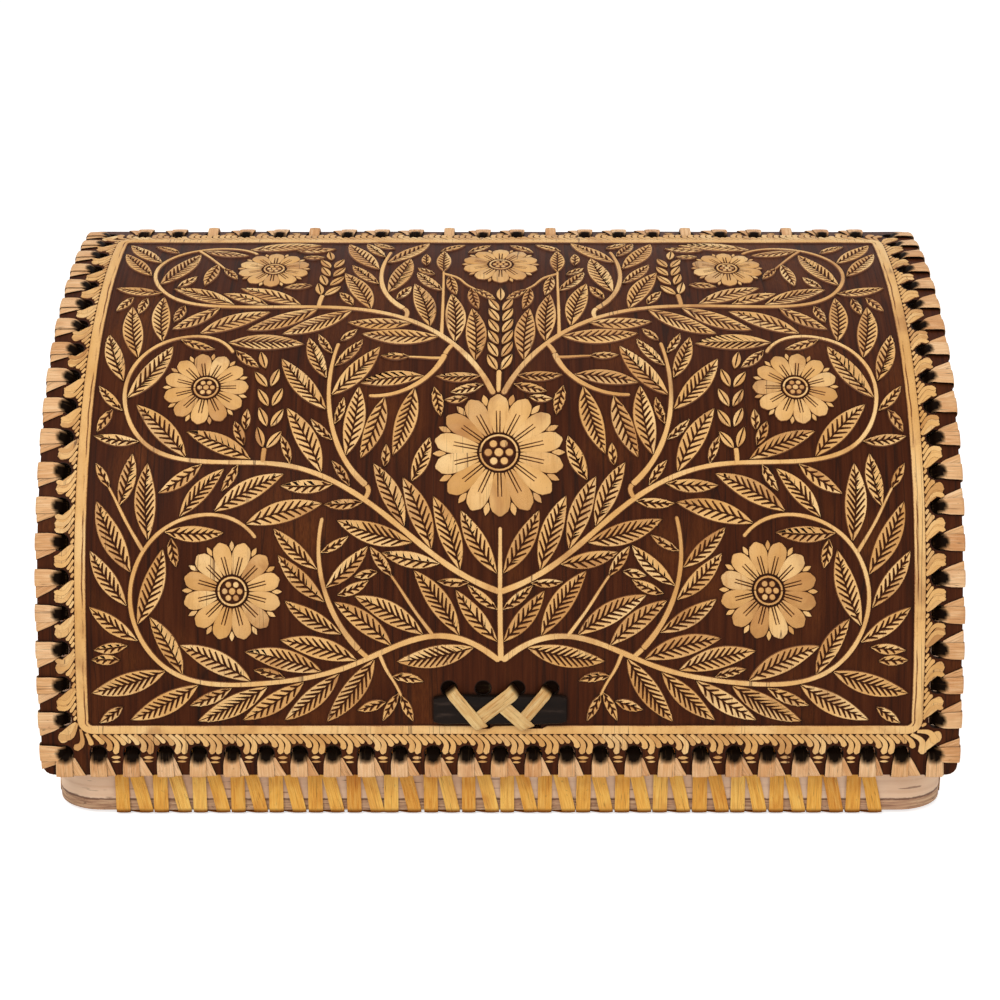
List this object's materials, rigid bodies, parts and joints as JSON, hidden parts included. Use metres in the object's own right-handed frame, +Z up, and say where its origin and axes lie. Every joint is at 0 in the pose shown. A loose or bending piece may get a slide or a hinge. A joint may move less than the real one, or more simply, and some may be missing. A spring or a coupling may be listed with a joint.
{
  "type": "birch bark box",
  "caption": "Bark bread box: low laced tray with upright sides, and a quarter-round embossed lid hinged at its top rear edge.",
  "frame": {"origin": "centre of the flat underside, on the surface that the box stands on", "axes": "+X along the width to the right seen from the front, -Y towards the front, +Z up"},
  "size_m": [0.35, 0.1762, 0.1992],
  "materials": {
    "bark_embossed": "embossed bark, stained dark between golden raised ornament, satin",
    "bark_pale": "pale birch bark with fine lenticels, matt",
    "bark_plain": "inner face of birch bark, warm tan, matt",
    "board": "fibrous tan board, matt",
    "lace_tan": "peeled bast strip, peach tan, satin",
    "lace_yellow": "dyed bast strip, ochre yellow, satin",
    "lace_cream": "peeled bast strip, cream, satin",
    "strap": "near-black leather, worn satin"
  },
  "bodies": {
    "box": {"underside_sheet": "bark_plain", "base_board": "board", "wall_bark": "bark_pale", "wall_lining": "bark_plain", "back_panel": "bark_pale", "back_lining": "bark_plain", "floor_lining": "bark_plain", "base_lacing_front": "lace_yellow", "base_lacing_back": "lace_yellow", "base_lacing_left": "lace_yellow", "base_lacing_right": "lace_yellow", "rim_lacing_front": "lace_tan", "rim_lacing_left": "lace_tan", "rim_lacing_right": "lace_tan", "corner_lacing_left": "lace_tan", "corner_lacing_right": "lace_tan", "hinge_loops": "lace_tan"},
    "lid": {"lid_sheet": "bark_embossed", "lid_lining": "bark_plain", "lid_lacing_front": "lace_tan", "lid_lacing_rear": "lace_tan", "lid_lacing_left": "lace_tan", "lid_lacing_right": "lace_tan", "handle_strap": "strap", "handle_lace": "lace_cream", "openwork_frame": "bark_embossed", "openwork_flowers": "bark_embossed", "openwork_stems": "bark_embossed", "openwork_leaves": "bark_embossed"}
  },
  "joints": [
    {"name": "lid_hinge", "type": "hinge", "parent": "box", "child": "lid", "pos_m": [0, 0.07848, 0.19174], "axis": [-1, 0, 0], "range_deg": [0, 135]}
  ]
}
